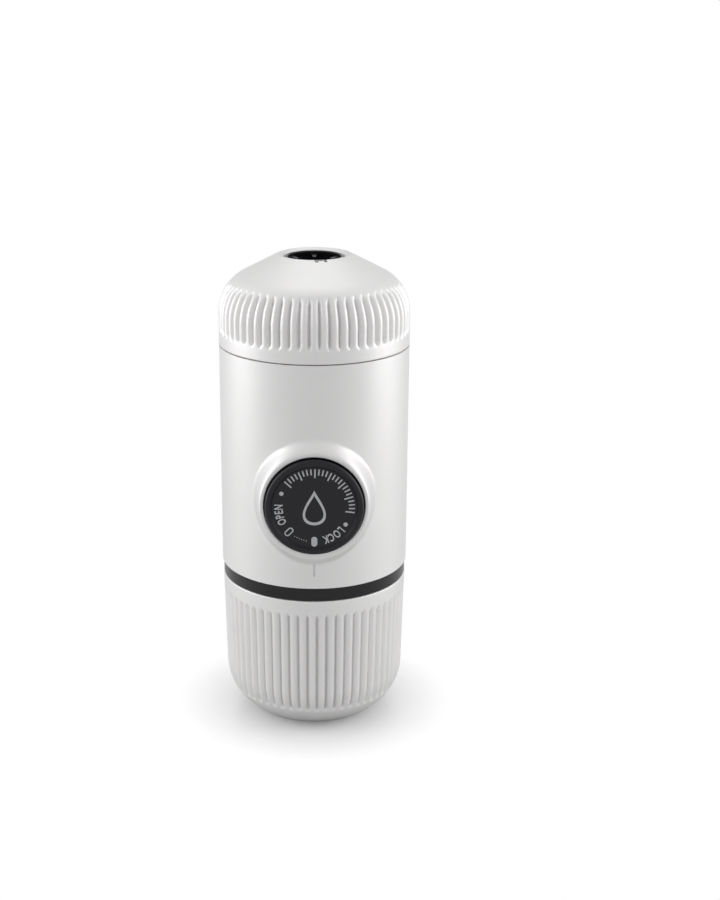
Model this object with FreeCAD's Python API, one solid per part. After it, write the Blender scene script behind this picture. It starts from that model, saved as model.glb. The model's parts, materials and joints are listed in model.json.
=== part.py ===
"""Handheld manual espresso maker: water tank, body with a hand pump, and brewing head, screwed together.

Millimetres, +Z up. The origin is the centre of the flat base, and the pump knob faces -Y.
"""

import FreeCAD, Part
import math
import os

V = FreeCAD.Vector
ORIGIN = V(0, 0, 0)
UP = V(0, 0, 1)
FRONT = V(0, -1, 0)

# Heights of the stacked pieces
tank_height = 48.4
band_height = 4.7
body_height = 73.9
head_height = 29.0

# Outer shells and the gaps between pieces
body_radius = 31.0
shell_wall = 2.2
fit_gap = 0.15
turn_gap = 0.3
joint_line = 0.3

# Tank
tank_step = 0.3
tank_taper = 1.4
base_edge_width = 11.2
base_edge_height = 16.0
liner_wall = 1.8
mouth_land = 0.35

# Ribs of the tank and the head
rib_count = 60
groove_depth = 0.75
groove_cutter_radius = 1.15
tank_groove_low = 8.6
tank_groove_margin = 5.2
tank_groove_turn = 1.7
head_groove_rise = 4.8
head_groove_sweep = 44.0
head_groove_turn = 3.0

# Dome of the head
dome_slope = 27.5
dome_shoulder_radius = 14.0
rim_radius = 1.8
rim_depth = 4.2
spout_opening_radius = 9.6

# Screwed collar between tank and body
collar_length = 8.0
collar_wall = 2.5
flange_thickness = 3.4
band_step = 0.45
tank_seal_width = 2.0
strainer_wall = 1.2
strainer_depth = 5.2
strainer_hole_radius = 1.3
strainer_rings = 4
air_valve_place = 11.0
air_valve_radius = 4.0
air_valve_thickness = 0.9
air_stem_radius = 1.2
air_bead_width = 0.5

# Chassis inside the body
chassis_wall = 1.8
deck_thickness = 3.0
deck_drop = 8.0
floor_thickness = 3.0
floor_opening_radius = 15.0
bulkhead_thickness = 2.5
window_width = 12.0
window_height = 34.0
neck_wall = 2.8
neck_height = 8.0
tube_way = 1.5

# Screws
screw_radius = 1.25
screw_head_radius = 2.5
screw_head_height = 1.6
boss_post_radius = 3.0
boss_post_height = 6.0
boss_post_tip = 1.0
collar_screw_circle = 19.0
collar_screw_length = 9.0
neck_screw_setback = 3.1
neck_screw_length = 4.5
guide_screw_setback = 2.8
guide_screw_length = 2.0
pump_screw_circle = 9.6
pump_screw_length = 5.0
cross_screw_count = 3
cross_screw_turn = 30.0

# Pump knob and its guide
knob_rise = 28.9
knob_radius = 15.6
knob_proud = 4.5
knob_rim_width = 2.2
knob_rim_round = 0.9
knob_dish_depth = 0.8
knob_dish_inset = 0.1
knob_dish_flare = 0.5
knob_wall = 1.6
knob_floor = 1.4
knob_face_thickness = 1.2
knob_skirt_end = 3.0
hub_radius = 5.0
hub_length = 5.0
lip_clearance = 0.8
lip_proud = 2.2
boss_lip = 0.9
boss_blend = 3.9
index_drop = 20.7
index_length = 4.1
index_width = 1.2
index_depth = 0.5

# Bayonet lock of the knob
lug_count = 3
lug_height = 1.4
lug_thickness = 1.2
lug_angle = 30.0
lug_first = 90.0
tab_angle = 40.0
tab_gap = 0.1
knob_clearance = 0.3
guide_wall = 1.2
guide_lip_setback = 0.5
guide_lip_length = 16.0
guide_flange_margin = 2.9
guide_flange_thickness = 2.0
pump_stroke = 18.0

# Pump
pump_bore_radius = 4.6
pump_wall = 2.4
pump_front = 14.0
pump_flange_radius = 12.2
pump_flange_thickness = 3.0
valve_place = 17.5
valve_bore_radius = 3.6
valve_wall = 1.9
valve_reach = 17.0
valve_seat_offset = 8.5
valve_disc_thickness = 1.0
valve_beak_height = 2.6
valve_beak_width = 0.9
valve_beak_step = 1.0
valve_lips_step = 1.2
tube_radius = 2.6
tube_bore_radius = 1.7
tube_socket = 3.0
rod_radius = 2.6
rod_collar_radius = 4.0
rod_collar_length = 1.5
knob_screw_radius = 3.7
knob_screw_height = 1.5
running_gap = 0.1
piston_radius = 4.4
piston_length = 6.0
piston_end_gap = 0.4
piston_land = 1.5
piston_groove_depth = 1.0
piston_seal_width = 1.8
piston_seal_gap = 0.05

# Return spring
spring_radius = 9.2
spring_wire_radius = 0.6
spring_turns = 6

# Brewing chamber
shower_chamber_height = 2.0
shower_seat_width = 3.4
shower_thickness = 1.2
shower_hole_radius = 0.8
shower_rings = 3
hole_margin = 1.5
brew_seal_height = 2.0
brew_seal_width = 4.7
basket_wall = 0.8
basket_flange_gap = 1.8
basket_flange_width = 3.9
basket_flange_thickness = 1.0
basket_hole_radius = 0.7
basket_rings = 4
head_gasket_height = 2.0
insert_wall = 1.55
insert_deck = 2.0
cup_wall = 1.5
press_wall = 3.0
cup_top = 1.5
cup_drop = 9.9
screen_thickness = 0.8
screen_rings = 3
nozzle_drop = 2.8
nozzle_bore_radius = 8.1
nozzle_skin = 0.3
nozzle_floor_drop = 6.0
nozzle_floor_thickness = 1.5
nozzle_hub_radius = 2.6
nozzle_hub_bore = 1.5
nozzle_hub_height = 3.6
nozzle_hole_count = 4
nozzle_hole_margin = 0.5
tongue_width = 3.6
tongue_reach = 2.4
tongue_drop = 0.5
tongue_thickness = 0.9
tongue_root = 1.0
tongue_turn = 280.0

# How closely an edge has to lie on a surface to be picked for a fillet
pick_tolerance = 0.01

# Sizes that follow from the ones above
body_bottom = tank_height + band_height
seam_height = body_bottom + body_height
total_height = seam_height + head_height
tank_top_radius = body_radius - tank_step
base_flat_radius = tank_top_radius - base_edge_width
tank_mouth_radius = tank_top_radius - shell_wall - fit_gap - liner_wall - mouth_land
tank_groove_high = tank_height - tank_groove_margin
head_groove_low = seam_height + head_groove_rise
knob_height = body_bottom + knob_rise
knob_crest = body_radius + knob_proud
lip_front = body_radius + lip_proud
index_low = knob_height - index_drop - index_length
shell_inner = body_radius - shell_wall
insert_radius = shell_inner - fit_gap
insert_bore_radius = insert_radius - insert_wall
neck_outer_radius = insert_bore_radius - turn_gap
neck_inner_radius = neck_outer_radius - neck_wall
neck_screw_circle = neck_outer_radius - neck_screw_setback
shower_chamber_radius = neck_inner_radius - shower_seat_width
chassis_radius = shell_inner - fit_gap
chassis_inner = chassis_radius - chassis_wall
band_radius = body_radius - band_step
flange_radius = chassis_radius - fit_gap
flange_bottom = body_bottom - flange_thickness
collar_radius = tank_mouth_radius - turn_gap
collar_inner = collar_radius - collar_wall
deck_top = seam_height - deck_drop
neck_top = seam_height + neck_height
knob_bore_radius = knob_radius + lip_clearance
boss_radius = knob_bore_radius + boss_lip
guide_bore_radius = knob_radius + knob_clearance
lug_radius = knob_radius + lug_height
guide_channel_radius = lug_radius + knob_clearance
guide_radius = guide_channel_radius + guide_wall
guide_screw_circle = guide_radius + guide_screw_setback
guide_flange_radius = guide_screw_circle + guide_flange_margin
knob_face_front = -(knob_crest - knob_dish_depth)
knob_floor_front = knob_face_front + knob_face_thickness
knob_floor_back = knob_floor_front + knob_floor
hub_end = knob_floor_back + hub_length
rod_front = knob_floor_front + knob_screw_height + 2 * running_gap
pump_bore_end = valve_place - valve_bore_radius + piston_end_gap
piston_back = valve_place - valve_bore_radius
pump_outer_radius = pump_bore_radius + pump_wall
valve_outer_radius = valve_bore_radius + valve_wall
valve_low = knob_height - valve_reach
valve_high = knob_height + valve_reach
shower_low = deck_top + shower_chamber_height
brew_seal_low = shower_low + shower_thickness
basket_low = brew_seal_low + brew_seal_height + fit_gap
basket_flange_radius = neck_inner_radius - basket_flange_gap
basket_outer_radius = basket_flange_radius - basket_flange_width
basket_inner_radius = basket_outer_radius - basket_wall
gasket_low = basket_low + basket_flange_thickness + fit_gap
press_low = gasket_low + head_gasket_height + fit_gap
cup_bore_radius = basket_outer_radius + 2 * turn_gap
insert_low = seam_height + joint_line
deck_low = neck_top + turn_gap
cup_high = total_height - cup_drop
cup_ceiling = cup_high - cup_top
screen_low = cup_ceiling - fit_gap - screen_thickness
basket_top = screen_low - turn_gap
nozzle_top = total_height - nozzle_drop
nozzle_radius = spout_opening_radius - turn_gap
nozzle_floor = nozzle_top - nozzle_floor_drop


def line(a, b):
    return Part.LineSegment(V(a[0], 0, a[1]), V(b[0], 0, b[1])).toShape()


def arc(a, middle, b):
    return Part.Arc(V(a[0], 0, a[1]), V(middle[0], 0, middle[1]), V(b[0], 0, b[1])).toShape()


def on_circle(centre, radius, angle):
    """A point of a circle in the XZ plane, its angle in degrees from the X axis."""
    a = math.radians(angle)
    return centre[0] + radius * math.cos(a), centre[1] + radius * math.sin(a)


def bend(centre, radius, start, end):
    """An arc in the XZ plane between two angles in degrees."""
    places = [on_circle(centre, radius, angle) for angle in (start, (start + end) / 2, end)]
    return arc(*places)


def turned(edges):
    """The solid of a closed outline in the XZ plane, turned round the Z axis."""
    return Part.Face(Part.Wire(edges)).revolve(ORIGIN, UP, 360)


def closed(points):
    """Straight edges through the points and back to the first."""
    return [line(a, b) for a, b in zip(points, points[1:] + points[:1])]


def disc(radius, low, high, x=0.0, y=0.0):
    return Part.makeCylinder(radius, high - low, V(x, y, low), UP)


def ring(outer, inner, low, high, x=0.0, y=0.0):
    """An upright tube."""
    return disc(outer, low, high, x, y).cut(disc(inner, low, high, x, y))


def pump_disc(radius, front, back):
    """A cylinder about the pump's axis, between two places on Y."""
    return Part.makeCylinder(radius, back - front, V(0, back, knob_height), FRONT)


def pump_ring(outer, inner, front, back):
    """A tube about the pump's axis, between two places on Y."""
    return pump_disc(outer, front, back).cut(pump_disc(inner, front, back))


def pump_sector(outer, inner, front, back, middle, angle):
    """A stretch of a tube about the pump's axis. Angles run from +X towards +Z, seen from the front."""
    length = back - front
    piece = Part.makeCylinder(outer, length, ORIGIN, UP, angle)
    piece = piece.cut(Part.makeCylinder(inner, length))
    piece.rotate(ORIGIN, UP, middle - angle / 2)
    piece.rotate(ORIGIN, V(1, 0, 0), 90)
    piece.translate(V(0, back, knob_height))
    return piece


def around(shape, count, first=0.0):
    """Copies of a shape, evenly turned round the Z axis."""
    copies = []
    for i in range(count):
        copy = shape.copy()
        copy.rotate(ORIGIN, UP, first + 360.0 * i / count)
        copies.append(copy)
    return copies


def fused(shapes):
    """One solid from shapes that meet."""
    return shapes[0].multiFuse(shapes[1:]).removeSplitter()


def hole_rings(radius, low, high, field, rings):
    """Upright holes in even rings round a centre hole, over a round field."""
    pitch = (field - hole_margin - radius) / rings
    holes = [disc(radius, low, high)]
    for k in range(1, rings + 1):
        holes += around(disc(radius, low, high, k * pitch), 6 * k)
    return Part.makeCompound(holes)


def rounded_rod(edges, start, end, radius):
    """A rod with round ends along tangent edges."""
    direction = edges[0].tangentAt(edges[0].FirstParameter)
    section = Part.Wire(Part.Circle(start, direction, radius).toShape())
    rod = Part.Wire(edges).makePipeShell([section], True, False)
    for place in (start, end):
        rod = rod.fuse(Part.makeSphere(radius, place))
    return rod


def tank_edge(inset):
    """Centre and radius of the arc that runs from the flat base into the tapered wall, moved inwards."""
    taper = math.radians(tank_taper)
    wall = tank_top_radius - (tank_height - base_edge_height) * math.tan(taper)
    reach = wall - base_flat_radius
    lean = math.sin(taper) ** 2
    root = math.sqrt(reach ** 2 - lean * (reach ** 2 + base_edge_height ** 2))
    inward = (reach - root) / lean
    return (wall - inward, base_edge_height), inward * math.cos(taper) - inset


def tank_wall(inset, height):
    """Radius of the tapered wall at a height, moved inwards."""
    taper = math.radians(tank_taper)
    return tank_top_radius - (tank_height - height) * math.tan(taper) - inset / math.cos(taper)


def tank_outline(inset, floor, top):
    """The tank's outline from its axis, moved inwards, with a floor and a top edge."""
    centre, radius = tank_edge(inset)
    low_angle = -math.degrees(math.asin((base_edge_height - floor) / radius))
    foot = on_circle(centre, radius, low_angle)
    shoulder = on_circle(centre, radius, -tank_taper)
    upper = (tank_wall(inset, top), top)
    edges = [line((0, floor), foot), bend(centre, radius, low_angle, -tank_taper), line(shoulder, upper)]
    edges += [line(upper, (0, top)), line((0, top), (0, floor))]
    return edges


def tank_groove():
    """The cutter of one groove in the tank's wall, on the +X side."""
    proud = groove_cutter_radius - groove_depth
    centre, radius = tank_edge(-proud)
    angle = math.degrees(math.asin((tank_groove_low - base_edge_height) / radius))
    foot = on_circle(centre, radius, angle)
    knee = on_circle(centre, radius, -tank_taper)
    high = (tank_wall(-proud, tank_groove_high), tank_groove_high)
    edges = [bend(centre, radius, angle, -tank_taper), line(knee, high)]
    return rounded_rod(edges, V(foot[0], 0, foot[1]), V(high[0], 0, high[1]), groove_cutter_radius)


def make_tank_shell():
    shell = turned(tank_outline(0, 0, tank_height))
    shell = shell.cut(turned(tank_outline(shell_wall, shell_wall, tank_height)))
    # The turned surface starts and ends in the middle of a rib, clear of the grooves
    shell.rotate(ORIGIN, UP, tank_groove_turn + 180.0 / rib_count)
    return shell.cut(Part.makeCompound(around(tank_groove(), rib_count, tank_groove_turn)))


def make_tank_liner():
    inset = shell_wall + fit_gap
    top = tank_height - joint_line
    vessel = turned(tank_outline(inset, inset, top))
    inner = inset + liner_wall
    inside = turned(tank_outline(inner, inner, top)).common(disc(tank_mouth_radius, 0, top))
    return vessel.cut(inside)


def make_tank_seal():
    """A flat ring on the liner's rim, under the collar's flange."""
    low = tank_height - joint_line + fit_gap
    inner = tank_mouth_radius
    return ring(inner + tank_seal_width, inner, low, flange_bottom - fit_gap)


def screw_places(circle):
    """Four upright screws on a circle round the axis, on X and Y."""
    a = circle * math.sqrt(0.5)
    return [(a, a), (-a, a), (-a, -a), (a, -a)]


def make_collar():
    collar = ring(collar_radius, collar_inner, tank_height - collar_length, body_bottom)
    collar = collar.fuse(disc(flange_radius, flange_bottom, body_bottom))
    holes = [
        disc(tube_radius + fit_gap, flange_bottom, body_bottom, 0, valve_place),
        disc(air_stem_radius + fit_gap, flange_bottom, body_bottom, 0, -air_valve_place),
    ]
    for x, y in screw_places(collar_screw_circle):
        holes.append(disc(screw_radius + fit_gap, flange_bottom, body_bottom, x, y))
        recess_top = flange_bottom + screw_head_height
        holes.append(disc(screw_head_radius + fit_gap, flange_bottom, recess_top, x, y))
    return collar.cut(Part.makeCompound(holes)).removeSplitter()


def make_grip_band():
    return ring(band_radius, flange_radius + fit_gap, tank_height + joint_line, body_bottom)


def make_collar_screws():
    screws = []
    for x, y in screw_places(collar_screw_circle):
        head = disc(screw_head_radius, flange_bottom, flange_bottom + screw_head_height - fit_gap, x, y)
        shank = disc(screw_radius, flange_bottom, flange_bottom + collar_screw_length, x, y)
        screws.append(head.fuse(shank))
    return Part.makeCompound(screws)


def make_inlet_strainer():
    """A shallow cup with a holed floor, plugged into the collar."""
    top = flange_bottom - fit_gap
    low = top - strainer_depth
    radius = collar_inner - turn_gap
    inner = radius - strainer_wall
    cup = disc(radius, low, top).cut(disc(inner, low + strainer_wall, top))
    return cup.cut(hole_rings(strainer_hole_radius, low, low + strainer_wall, inner, strainer_rings))


def make_air_valve():
    """A soft mushroom that lets air into the tank as water leaves it."""
    y = -air_valve_place
    low = flange_bottom - air_valve_thickness
    cap = disc(air_valve_radius, low, flange_bottom, 0, y)
    stem = disc(air_stem_radius, low, body_bottom + air_valve_thickness, 0, y)
    bead = disc(air_stem_radius + air_bead_width, body_bottom, body_bottom + air_valve_thickness, 0, y)
    return fused([cap, stem, bead])


def index_mark():
    """The cutter of the short upright V line under the knob."""
    half = index_width / 2
    skin = -body_radius
    ahead = skin - index_depth
    section = [(-half, ahead), (half, ahead), (half, skin), (0, skin + index_depth), (-half, skin)]
    points = [V(x, y, index_low) for x, y in section]
    outline = Part.makePolygon(points + points[:1])
    return Part.Face(outline).extrude(V(0, 0, index_length))


def make_body_shell():
    """The outer tube with the boss that flows out of its front round the knob."""
    low = body_bottom
    high = seam_height - joint_line / 2
    tube = disc(body_radius, low, high)
    reach = lip_front + 2 * boss_blend
    boss = Part.makeCylinder(boss_radius, reach, V(0, 0, knob_height), FRONT)
    shell = tube.fuse(boss)
    meeting = []
    for edge in shell.Edges:
        points = edge.discretize(7)
        on_tube = all(abs(math.hypot(p.x, p.y) - body_radius) < pick_tolerance for p in points)
        on_boss = all(abs(math.hypot(p.x, p.z - knob_height) - boss_radius) < pick_tolerance for p in points)
        if on_tube and on_boss:
            meeting.append(edge)
    shell = shell.makeFillet(boss_blend, meeting)
    size = 4 * boss_radius
    shell = shell.cut(Part.makeBox(size, size, size, V(-size / 2, -lip_front - size, knob_height - size / 2)))
    shell = shell.cut(disc(shell_inner, low, high))
    shell = shell.cut(pump_disc(knob_bore_radius, -lip_front, 0))
    return shell.cut(index_mark())


def make_chassis():
    """Tube with floor ring, cross bulkhead and top deck."""
    tube = ring(chassis_radius, chassis_inner, body_bottom, deck_top)
    floor = ring(chassis_inner, floor_opening_radius, body_bottom, body_bottom + floor_thickness)
    deck = disc(chassis_inner, deck_top - deck_thickness, deck_top)
    length = 2 * chassis_inner
    height = deck_top - body_bottom
    plate = Part.makeBox(length, bulkhead_thickness, height, V(-chassis_inner, 0, body_bottom))
    plate = plate.common(disc(chassis_inner, body_bottom, deck_top))
    places = screw_places(collar_screw_circle)
    posts = [disc(boss_post_radius, body_bottom, post_top(), x, y) for x, y in places]
    body = fused([tube, floor, deck, plate] + posts)
    cuts = [
        pump_disc(guide_radius + fit_gap, -body_radius, 0),
        pump_disc(pump_outer_radius + fit_gap, 0, bulkhead_thickness),
        disc(tube_radius + fit_gap, deck_top - deck_thickness, deck_top, 0, valve_place),
        disc(tube_radius + tube_way, body_bottom, body_bottom + floor_thickness, 0, valve_place),
    ]
    for x, y in places:
        cuts.append(disc(screw_radius + fit_gap, body_bottom, post_top() - boss_post_tip, x, y))
    for x, y in screw_places(neck_screw_circle):
        cuts.append(disc(screw_radius + fit_gap, deck_top - deck_thickness, deck_top, x, y))
    # One block through both side walls makes the two windows
    corner = V(-body_radius, 2 * bulkhead_thickness, knob_height - window_height / 2)
    cuts.append(Part.makeBox(2 * body_radius, window_width, window_height, corner))
    for x, z in guide_screw_places():
        cuts.append(cross_disc(screw_radius + fit_gap, x, z, 0, bulkhead_thickness))
    for x, z in pump_screw_places():
        cuts.append(cross_disc(screw_radius + fit_gap, x, z, fit_gap, bulkhead_thickness))
    return body.cut(Part.makeCompound(cuts)).removeSplitter()


def make_brew_neck():
    """The neck that the head screws onto, with the seat of the shower plate at its foot."""
    neck = ring(neck_outer_radius, neck_inner_radius, deck_top, neck_top)
    neck = neck.fuse(ring(neck_inner_radius, shower_chamber_radius, deck_top, shower_low))
    tip = deck_top - deck_thickness + neck_screw_length + fit_gap
    holes = [disc(screw_radius + fit_gap, deck_top, tip, x, y) for x, y in screw_places(neck_screw_circle)]
    return neck.cut(Part.makeCompound(holes)).removeSplitter()


def make_neck_screws():
    """Screws that hold the neck from below the deck."""
    low = deck_top - deck_thickness
    screws = []
    for x, y in screw_places(neck_screw_circle):
        head = disc(screw_head_radius, low - screw_head_height, low, x, y)
        screws.append(head.fuse(disc(screw_radius, low - screw_head_height, low + neck_screw_length, x, y)))
    return Part.makeCompound(screws)


def post_top():
    return body_bottom + floor_thickness + boss_post_height


def cross_disc(radius, x, z, front, back):
    """A cylinder along Y at a place on X and Z."""
    return Part.makeCylinder(radius, back - front, V(x, back, z), FRONT)


def screw_circle(radius):
    """Even places round the pump's axis, on X and Z."""
    places = []
    for i in range(cross_screw_count):
        a = math.radians(cross_screw_turn + 360 * i / cross_screw_count)
        places.append((radius * math.cos(a), knob_height + radius * math.sin(a)))
    return places


def guide_screw_places():
    return screw_circle(guide_screw_circle)


def pump_screw_places():
    return screw_circle(pump_screw_circle)


def make_knob_guide():
    """Sleeve for the knob: a front lip that guides it, a wide bore for its lugs, and tabs that hold them."""
    lip_end = -(lip_front - guide_lip_setback)
    sleeve = pump_disc(guide_radius, -body_radius, 0)
    sleeve = sleeve.common(disc(shell_inner - fit_gap, body_bottom, seam_height))
    lip = pump_disc(knob_bore_radius - fit_gap, lip_end, lip_end + guide_lip_length)
    flange = pump_disc(guide_flange_radius, -guide_flange_thickness, 0)
    flange = flange.common(disc(chassis_inner - fit_gap, body_bottom, seam_height))
    guide = fused([sleeve, lip, flange])
    guide = guide.cut(pump_disc(guide_bore_radius, lip_end, 0))
    stop = -(knob_skirt_end + lug_thickness + pump_stroke + knob_clearance)
    guide = guide.cut(pump_disc(guide_channel_radius, stop, 0))
    tab_back = -(knob_skirt_end + lug_thickness + tab_gap)
    root = guide_channel_radius + guide_wall / 2
    tabs = []
    for i in range(lug_count):
        middle = lug_first + 360 * i / lug_count
        tab_front = tab_back - lug_thickness
        tabs.append(pump_sector(root, guide_bore_radius, tab_front, tab_back, middle, tab_angle))
    guide = fused([guide] + tabs)
    radius = screw_radius + fit_gap
    holes = [cross_disc(radius, x, z, -guide_flange_thickness, 0) for x, z in guide_screw_places()]
    return guide.cut(Part.makeCompound(holes))


def cross_screws(places, head_front, head_back, tip_front, tip_back):
    """Screws along Y, each with its head and its shank between two places on Y."""
    screws = []
    for x, z in places:
        head = cross_disc(screw_head_radius, x, z, head_front, head_back)
        screws.append(head.fuse(cross_disc(screw_radius, x, z, tip_front, tip_back)))
    return Part.makeCompound(screws)


def make_guide_screws():
    front = -guide_flange_thickness
    return cross_screws(guide_screw_places(), front - screw_head_height, front, front, guide_screw_length)


def make_pump_cylinder():
    """Barrel with its flange, and the upright valve chamber across its back end."""
    flange_front = bulkhead_thickness
    flange_back = flange_front + pump_flange_thickness
    barrel = pump_disc(pump_outer_radius, -pump_front, valve_place)
    flange = pump_disc(pump_flange_radius, flange_front, flange_back)
    chamber = disc(valve_outer_radius, valve_low, valve_high, 0, valve_place)
    pump = fused([barrel, flange, chamber])
    cuts = [
        pump_disc(pump_bore_radius, -pump_front, pump_bore_end),
        disc(valve_bore_radius, valve_low + tube_socket, valve_high - tube_socket, 0, valve_place),
        disc(tube_radius + running_gap, valve_low, valve_high, 0, valve_place),
    ]
    for x, z in pump_screw_places():
        cuts.append(cross_disc(screw_radius + fit_gap, x, z, flange_front, flange_back))
    for cut in cuts:
        pump = pump.cut(cut)
    return pump


def make_pump_screws():
    head_front = bulkhead_thickness + pump_flange_thickness
    tip = head_front - pump_screw_length
    return cross_screws(pump_screw_places(), head_front, head_front + screw_head_height, tip, head_front)


def duckbill(middle):
    """A soft one-way valve: a disc with a flat beak that points up."""
    radius = valve_bore_radius - fit_gap
    base = disc(radius, middle, middle + valve_disc_thickness, 0, valve_place)
    low = middle + valve_disc_thickness
    wide = Part.Wire(Part.Circle(V(0, valve_place, low), UP, radius - valve_beak_step).toShape())
    half = radius - valve_lips_step
    thin = valve_beak_width / 2
    corners = [V(-half, -thin, 0), V(half, -thin, 0), V(half, thin, 0), V(-half, thin, 0), V(-half, -thin, 0)]
    lips = Part.makePolygon([p + V(0, valve_place, low + valve_beak_height) for p in corners])
    return base.fuse(Part.makeLoft([wide, lips], True, True))


def make_inlet_valve():
    return duckbill(knob_height - valve_seat_offset - valve_beak_height)


def make_outlet_valve():
    return duckbill(knob_height + valve_seat_offset - valve_disc_thickness)


def make_suction_tube():
    return ring(tube_radius, tube_bore_radius, flange_bottom, valve_low + tube_socket, 0, valve_place)


def make_riser_tube():
    return ring(tube_radius, tube_bore_radius, valve_high - tube_socket, deck_top, 0, valve_place)


def make_piston_rod():
    rod = pump_disc(rod_radius, rod_front, piston_back - piston_length / 2)
    stop = hub_end + running_gap
    return rod.fuse(pump_disc(rod_collar_radius, stop, stop + rod_collar_length))


def piston_groove():
    """Where the piston's seal lies on Y, front and back."""
    middle = piston_back - piston_land - piston_seal_width / 2
    return middle - piston_seal_width / 2, middle + piston_seal_width / 2


def make_piston():
    front, back = piston_groove()
    piston = pump_disc(piston_radius, piston_back - piston_length, piston_back)
    groove = pump_ring(piston_radius, piston_radius - piston_groove_depth, front - fit_gap, back + fit_gap)
    socket = pump_disc(rod_radius, piston_back - piston_length, piston_back - piston_length / 2)
    return piston.cut(groove).cut(socket)


def make_piston_seal():
    front, back = piston_groove()
    return pump_ring(pump_bore_radius - piston_seal_gap, piston_radius - piston_groove_depth, front, back)


def make_return_spring():
    """A coil between the bulkhead and the knob, pressed in at rest."""
    back = -spring_wire_radius - fit_gap
    front = knob_floor_back + spring_wire_radius + fit_gap
    length = back - front
    helix = Part.makeHelix(length / spring_turns, length, spring_radius)
    start = V(spring_radius, 0, 0)
    pitch_angle = math.atan(length / spring_turns / (2 * math.pi * spring_radius))
    direction = V(0, math.cos(pitch_angle), math.sin(pitch_angle))
    section = Part.Wire(Part.Circle(start, direction, spring_wire_radius).toShape())
    spring = Part.Wire(helix.Edges).makePipeShell([section], True, True)
    spring.rotate(ORIGIN, V(1, 0, 0), 90)
    spring.translate(V(0, back, knob_height))
    return spring


def make_knob_cup():
    """The pressed part of the pump: rim, floor, long skirt, hub and three lugs."""
    inner = knob_radius - knob_rim_width
    cup = pump_disc(knob_radius, -knob_crest, -knob_skirt_end)
    rim = [e for e in cup.Edges if e.BoundBox.YMax < pick_tolerance - knob_crest]
    cup = cup.makeFillet(knob_rim_round, rim)
    centre = V(0, knob_face_front, knob_height)
    dish = Part.makeCone(inner - knob_dish_inset, inner + knob_dish_flare, knob_dish_depth, centre, FRONT)
    cup = cup.cut(dish)
    cup = cup.cut(pump_disc(inner + fit_gap, knob_face_front, knob_floor_front))
    cup = cup.cut(pump_disc(knob_radius - knob_wall, knob_floor_back, -knob_skirt_end))
    cup = cup.fuse(pump_disc(hub_radius, knob_floor_front, hub_end))
    cup = cup.cut(pump_disc(rod_radius + running_gap, knob_floor_front, hub_end))
    cup = cup.cut(pump_disc(knob_screw_radius + running_gap, knob_floor_front, rod_front + running_gap))
    lugs = []
    for i in range(lug_count):
        middle = lug_first + 360 * i / lug_count
        front = -(knob_skirt_end + lug_thickness)
        root = knob_radius - knob_wall / 2
        lugs.append(pump_sector(lug_radius, root, front, -knob_skirt_end, middle, lug_angle))
    return fused([cup] + lugs)


def make_knob_face():
    return pump_disc(knob_radius - knob_rim_width, knob_face_front, knob_floor_front - running_gap)


def make_knob_screw():
    return pump_disc(knob_screw_radius, rod_front - knob_screw_height, rod_front)


def make_shower_plate():
    plate = disc(neck_inner_radius - turn_gap, shower_low, brew_seal_low)
    field = basket_inner_radius
    return plate.cut(hole_rings(shower_hole_radius, shower_low, brew_seal_low, field, shower_rings))


def make_brew_seal():
    outer = neck_inner_radius - turn_gap
    return ring(outer, outer - brew_seal_width, brew_seal_low, brew_seal_low + brew_seal_height)


def make_filter_basket():
    """The coffee cup, mouth down, with its holed floor on top."""
    flange = disc(basket_flange_radius, basket_low, basket_low + basket_flange_thickness)
    wall = disc(basket_outer_radius, basket_low, basket_top)
    ceiling = basket_top - basket_wall
    basket = flange.fuse(wall).cut(disc(basket_inner_radius, basket_low, ceiling))
    return basket.cut(hole_rings(basket_hole_radius, ceiling, basket_top, basket_inner_radius, basket_rings))


def make_head_gasket():
    high = gasket_low + head_gasket_height
    return ring(basket_flange_radius - turn_gap, basket_outer_radius + turn_gap, gasket_low, high)


def make_head_insert():
    """Black insert of the head: threaded skirt, deck, ring that presses the basket, and the cup over it."""
    deck_high = deck_low + insert_deck
    press = cup_bore_radius + press_wall
    outline = [
        (insert_bore_radius, insert_low),
        (insert_radius, insert_low),
        (insert_radius, deck_high),
        (cup_bore_radius + cup_wall, deck_high),
        (cup_bore_radius + cup_wall, cup_high),
        (nozzle_radius, cup_high),
        (nozzle_radius, cup_ceiling),
        (cup_bore_radius, cup_ceiling),
        (cup_bore_radius, press_low),
        (press, press_low),
        (press, deck_low),
        (insert_bore_radius, deck_low),
    ]
    return turned(closed(outline))


def make_head_screen():
    high = screen_low + screen_thickness
    screen = disc(cup_bore_radius - fit_gap, screen_low, high)
    return screen.cut(hole_rings(basket_hole_radius, screen_low, high, basket_inner_radius, screen_rings))


def dome_points():
    """Centre of the shoulder's arc, and centre and touching angle of the rim's arc."""
    slope = math.radians(dome_slope)
    rim = (spout_opening_radius + rim_radius, total_height - rim_radius)
    touch = on_circle(rim, rim_radius, 90 - dome_slope)
    corner = touch[1] - (body_radius - touch[0]) * math.tan(slope)
    setback = dome_shoulder_radius * math.tan((math.pi / 2 - slope) / 2)
    return (body_radius - dome_shoulder_radius, corner - setback), rim


def head_groove():
    """The cutter of one groove in the head, on the +X side: up the wall and over the shoulder."""
    centre, rim = dome_points()
    radius = dome_shoulder_radius + groove_cutter_radius - groove_depth
    low = (centre[0] + radius, head_groove_low)
    knee = on_circle(centre, radius, 0)
    high = on_circle(centre, radius, head_groove_sweep)
    edges = [line(low, knee), bend(centre, radius, 0, head_groove_sweep)]
    return rounded_rod(edges, V(low[0], 0, low[1]), V(high[0], 0, high[1]), groove_cutter_radius)


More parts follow.
